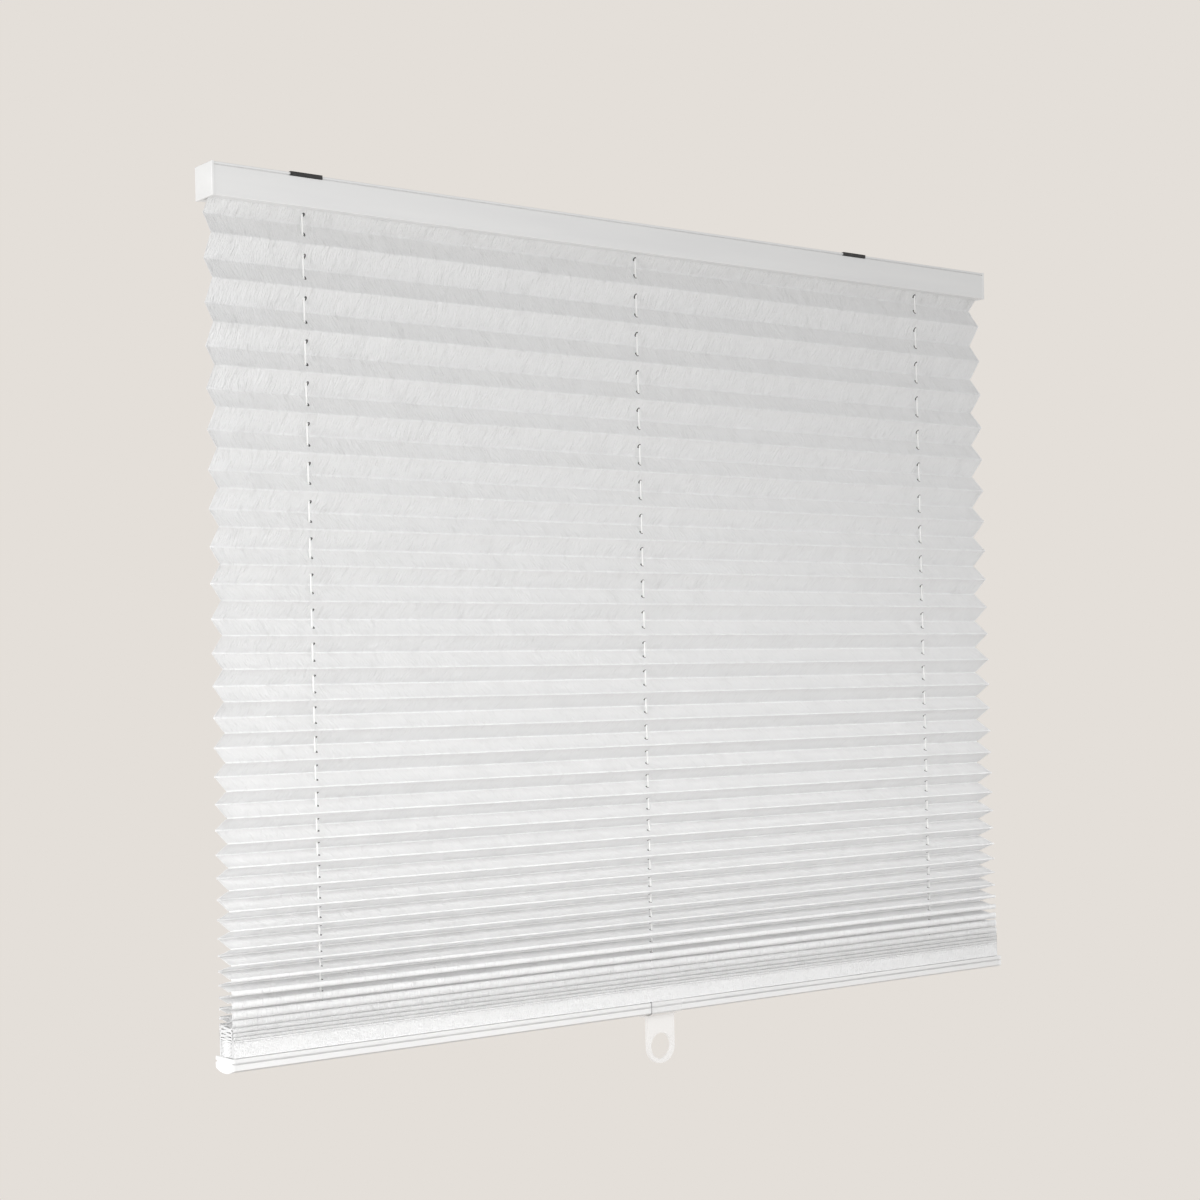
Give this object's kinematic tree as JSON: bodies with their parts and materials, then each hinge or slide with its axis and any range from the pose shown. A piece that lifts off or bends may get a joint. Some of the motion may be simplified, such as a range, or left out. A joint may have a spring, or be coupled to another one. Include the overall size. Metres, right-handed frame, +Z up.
{
  "type": "pleated blind",
  "caption": "Wide white pleated blind hung from clip brackets, with crinkled fabric on lift cords, a slim head rail, a weighted bottom rail and a clear pull handle.",
  "frame": {"origin": "midway between the two bracket screw holes, on the brackets' top faces", "axes": "+X along the rails to the right as seen from the room, +Y to the window, +Z up; the room side faces -Y"},
  "size_m": [0.8, 0.0295, 0.6886],
  "materials": {
    "white_aluminium": "satin white paint on extruded aluminium",
    "white_plastic": "moulded, satin",
    "black_steel": "black coated spring steel",
    "grey_plastic": "moulded, matt",
    "wheel_plastic": "moulded acetal",
    "spring_steel": "bright",
    "white_cord": "braided polyester",
    "crinkled_fabric": "crinkled polyester, pleated",
    "clear_plastic": "clear, moulded"
  },
  "bodies": {
    "head": {"head_rail": "white_aluminium", "left_end_cap": "white_plastic", "right_end_cap": "white_plastic", "left_bracket": "black_steel", "right_bracket": "black_steel", "top_fabric_strip": "white_plastic", "motor_base": "grey_plastic", "motor_cover": "grey_plastic", "drive_spring": "spring_steel", "pleated_fabric": "crinkled_fabric", "left_cord_guide": "grey_plastic", "left_guide_pin": "spring_steel", "left_cord_run": "white_cord", "left_lift_cord": "white_cord", "middle_cord_guide": "grey_plastic", "middle_guide_pin": "spring_steel", "middle_cord_run": "white_cord", "middle_lift_cord": "white_cord", "right_cord_guide": "grey_plastic", "right_guide_pin": "spring_steel", "right_cord_run": "white_cord", "right_lift_cord": "white_cord"},
    "foot": {"bottom_rail": "white_aluminium", "bottom_left_cap": "white_plastic", "bottom_right_cap": "white_plastic", "bottom_fabric_strip": "white_plastic", "pull_handle": "clear_plastic", "left_cord_anchor": "spring_steel", "middle_cord_anchor": "spring_steel", "right_cord_anchor": "spring_steel"},
    "left_spool_wheel": {"left_spool": "wheel_plastic", "left_spool_cord": "white_cord"},
    "output_drum_wheel": {"output_drum": "wheel_plastic"},
    "storage_drum_wheel": {"storage_drum": "wheel_plastic"},
    "right_spool_wheel": {"right_spool": "wheel_plastic", "right_spool_cord": "white_cord"}
  },
  "joints": [
    {"name": "bottom_rail_slide", "type": "slide", "parent": "head", "child": "foot", "axis": [0, 0, 1], "range_m": [-0.952, 0.564], "deforming": ["pleated_fabric", "left_lift_cord", "middle_lift_cord", "right_lift_cord"]},
    {"name": "left_spool_turn", "type": "hinge", "parent": "head", "child": "left_spool_wheel", "pos_m": [0.1685, 0, -0.0133], "axis": [0, 0, 1], "range_deg": [-4509, 7596]},
    {"name": "output_drum_turn", "type": "hinge", "parent": "head", "child": "output_drum_wheel", "pos_m": [0.1865, 0, -0.0133], "axis": [0, 0, 1], "range_deg": [-7596, 4509]},
    {"name": "storage_drum_turn", "type": "hinge", "parent": "head", "child": "storage_drum_wheel", "pos_m": [0.2045, 0, -0.0133], "axis": [0, 0, 1], "range_deg": [-4509, 7596]},
    {"name": "right_spool_turn", "type": "hinge", "parent": "head", "child": "right_spool_wheel", "pos_m": [0.2225, 0, -0.0133], "axis": [0, 0, 1], "range_deg": [-7596, 4509]}
  ],
  "couplings": [
    {"joint": "left_spool_turn", "follows": "bottom_rail_slide", "rad_per_m": -138.89},
    {"joint": "output_drum_turn", "follows": "bottom_rail_slide", "rad_per_m": 138.89},
    {"joint": "storage_drum_turn", "follows": "bottom_rail_slide", "rad_per_m": -138.89},
    {"joint": "right_spool_turn", "follows": "bottom_rail_slide", "rad_per_m": 138.89}
  ]
}
